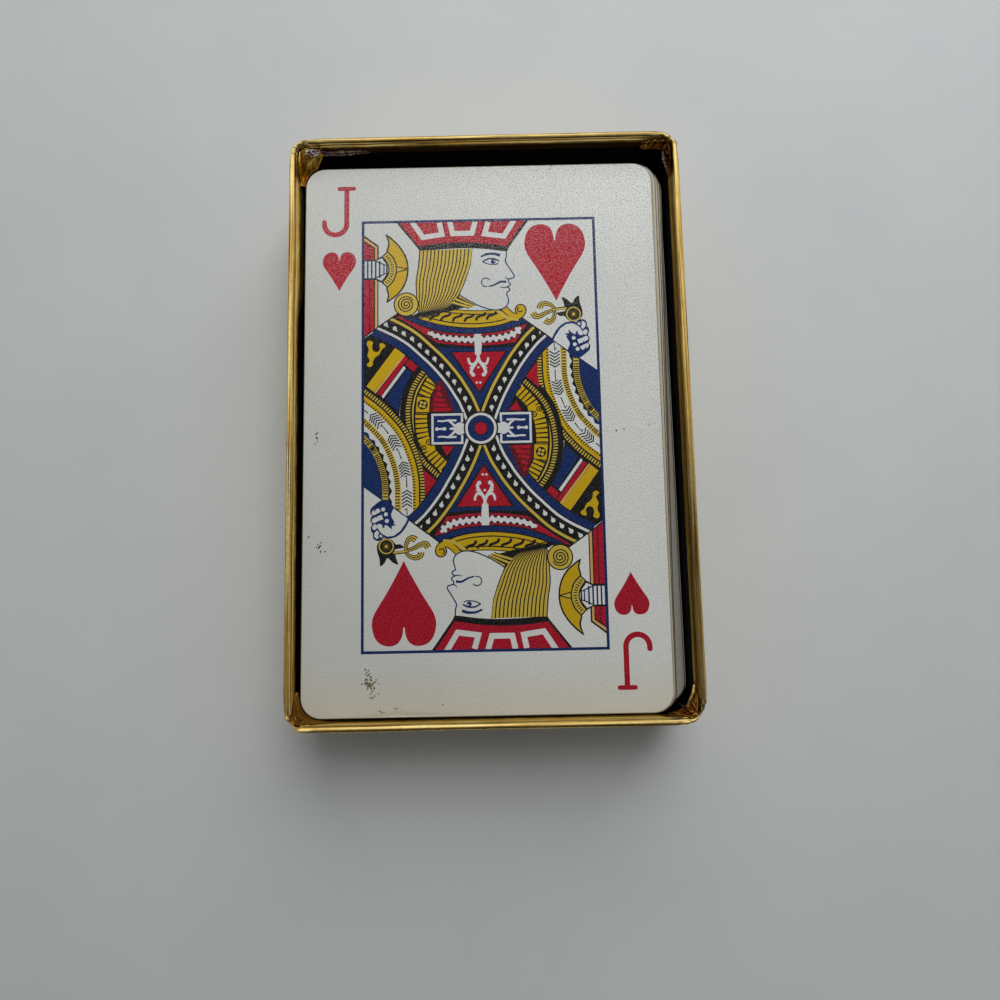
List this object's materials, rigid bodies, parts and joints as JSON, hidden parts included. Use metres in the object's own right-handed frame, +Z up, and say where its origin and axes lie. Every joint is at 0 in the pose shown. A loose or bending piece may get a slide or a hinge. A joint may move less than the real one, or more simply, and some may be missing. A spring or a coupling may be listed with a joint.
{
  "type": "playing card box tray",
  "caption": "Shallow open tray of gold-papered board with a black lining, holding a pack of bridge playing cards that lie loose in it and lift out.",
  "frame": {"origin": "centre of the tray's underside, on the surface it stands on", "axes": "+Z up out of the open tray, +Y towards the rear short wall (the top of the card's picture), +X towards the right long wall"},
  "size_m": [0.0632, 0.0944, 0.0198],
  "materials": {
    "board": "plain grey board",
    "stay_paper": "gummed kraft tape",
    "gold_foil_paper": "metallic gold foil, creased",
    "black_paper": "matt",
    "card_stock": "plastic coated, linen sheen"
  },
  "bodies": {
    "tray": {"bottom_board": "board", "front_wall_board": "board", "rear_wall_board": "board", "left_wall_board": "board", "right_wall_board": "board", "corner_stays": "stay_paper", "foil_base_panel": "gold_foil_paper", "foil_wall_wrap": "gold_foil_paper", "front_left_corner_tuck": "gold_foil_paper", "front_right_corner_tuck": "gold_foil_paper", "rear_left_corner_tuck": "gold_foil_paper", "rear_right_corner_tuck": "gold_foil_paper", "floor_lining": "black_paper", "wall_lining": "black_paper"},
    "stock": {"card_14": "card_stock", "card_15": "card_stock", "card_16": "card_stock", "card_17": "card_stock", "card_18": "card_stock", "card_19": "card_stock", "card_20": "card_stock", "card_21": "card_stock", "card_22": "card_stock", "card_23": "card_stock", "card_24": "card_stock", "card_25": "card_stock", "card_26": "card_stock", "card_27": "card_stock", "card_28": "card_stock", "card_29": "card_stock", "card_30": "card_stock", "card_31": "card_stock", "card_32": "card_stock", "card_33": "card_stock", "card_34": "card_stock", "card_35": "card_stock", "card_36": "card_stock", "card_37": "card_stock", "card_38": "card_stock", "card_39": "card_stock", "card_40": "card_stock", "card_41": "card_stock", "card_42": "card_stock", "card_43": "card_stock", "card_44": "card_stock", "card_45": "card_stock", "bottom_cards": "card_stock"},
    "fourth_fan_group": {"card_11": "card_stock", "card_12": "card_stock", "card_13": "card_stock"},
    "third_fan_group": {"card_08": "card_stock", "card_09": "card_stock", "card_10": "card_stock"},
    "second_fan_group": {"card_05": "card_stock", "card_06": "card_stock", "card_07": "card_stock"},
    "first_fan_group": {"card_02": "card_stock", "card_03": "card_stock", "card_04": "card_stock"},
    "top_card": {"top_card": "card_stock"}
  },
  "joints": [
    {"name": "stock_lift", "type": "slide", "parent": "tray", "child": "stock", "axis": [0, 0, 1], "range_m": [0, 0.0216]},
    {"name": "fourth_fan_group_lift", "type": "slide", "parent": "stock", "child": "fourth_fan_group", "axis": [0, 0, 1], "range_m": [0, 0.0099]},
    {"name": "third_fan_group_lift", "type": "slide", "parent": "fourth_fan_group", "child": "third_fan_group", "axis": [0, 0, 1], "range_m": [0, 0.009]},
    {"name": "second_fan_group_lift", "type": "slide", "parent": "third_fan_group", "child": "second_fan_group", "axis": [0, 0, 1], "range_m": [0, 0.0081]},
    {"name": "first_fan_group_lift", "type": "slide", "parent": "second_fan_group", "child": "first_fan_group", "axis": [0, 0, 1], "range_m": [0, 0.0072]},
    {"name": "top_card_lift", "type": "slide", "parent": "first_fan_group", "child": "top_card", "axis": [0, 0, 1], "range_m": [0, 0.0063]}
  ]
}
